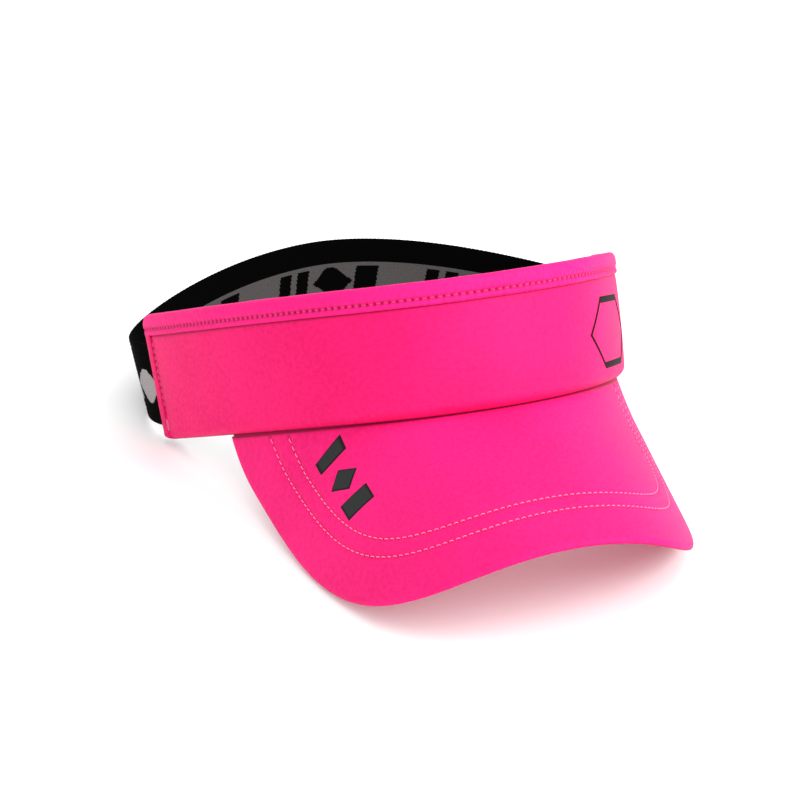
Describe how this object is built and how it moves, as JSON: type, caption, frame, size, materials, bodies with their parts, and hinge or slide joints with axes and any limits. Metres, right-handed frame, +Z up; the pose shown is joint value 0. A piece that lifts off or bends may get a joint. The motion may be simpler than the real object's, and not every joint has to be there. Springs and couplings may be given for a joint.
{
  "type": "sun visor",
  "caption": "Sports sun visor: padded fabric crown band, curved stiffened bill and a stretch back band.",
  "frame": {"origin": "centre of the footprint on the floor, with the visor standing on the two corners of its bill and on its back band", "axes": "+X towards the wearer's left, -Y forwards over the bill, +Z up"},
  "size_m": [0.1768, 0.2592, 0.0826],
  "materials": {
    "shell_fabric": "hot pink woven microfibre with a faint sheen",
    "binding_fabric": "hot pink folded strip of the same microfibre",
    "under_fabric": "hot pink woven lining",
    "sweatband_knit": "charcoal brushed knit",
    "elastic": "black and grey jacquard-woven elastic",
    "foam": "white laminated foam",
    "board": "white moulded sheet",
    "pink_thread": "light pink polyester thread",
    "beige_thread": "beige pink polyester thread",
    "black_film": "black heat-transfer film",
    "grey_film": "dark grey heat-transfer film"
  },
  "bodies": {
    "crown_and_bill": {"crown_outer_panel": "shell_fabric", "crown_interlining": "foam", "sweatband": "sweatband_knit", "top_binding": "binding_fabric", "end_hem_left": "binding_fabric", "end_hem_right": "binding_fabric", "bill_top_cover": "shell_fabric", "bill_under_cover": "under_fabric", "bill_board": "board", "bill_seam_tape": "under_fabric", "bill_stitch_outer": "pink_thread", "bill_stitch_inner": "pink_thread", "top_binding_stitch": "pink_thread", "end_stitch_left": "beige_thread", "end_stitch_right": "beige_thread", "bartack_left": "beige_thread", "bartack_right": "beige_thread", "sweatband_stitch": "beige_thread", "front_emblem": "black_film", "bill_emblem_bar": "grey_film", "bill_emblem_diamond": "grey_film", "bill_emblem_block": "grey_film"},
    "back_band": {"elastic_band": "elastic"}
  },
  "joints": [
    {"name": "back_band_stretch", "type": "slide", "parent": "crown_and_bill", "child": "back_band", "axis": [0, 1, 0], "range_m": [0, 0.022], "stiffness_N_per_m": 350, "deforming": ["elastic_band"]}
  ]
}
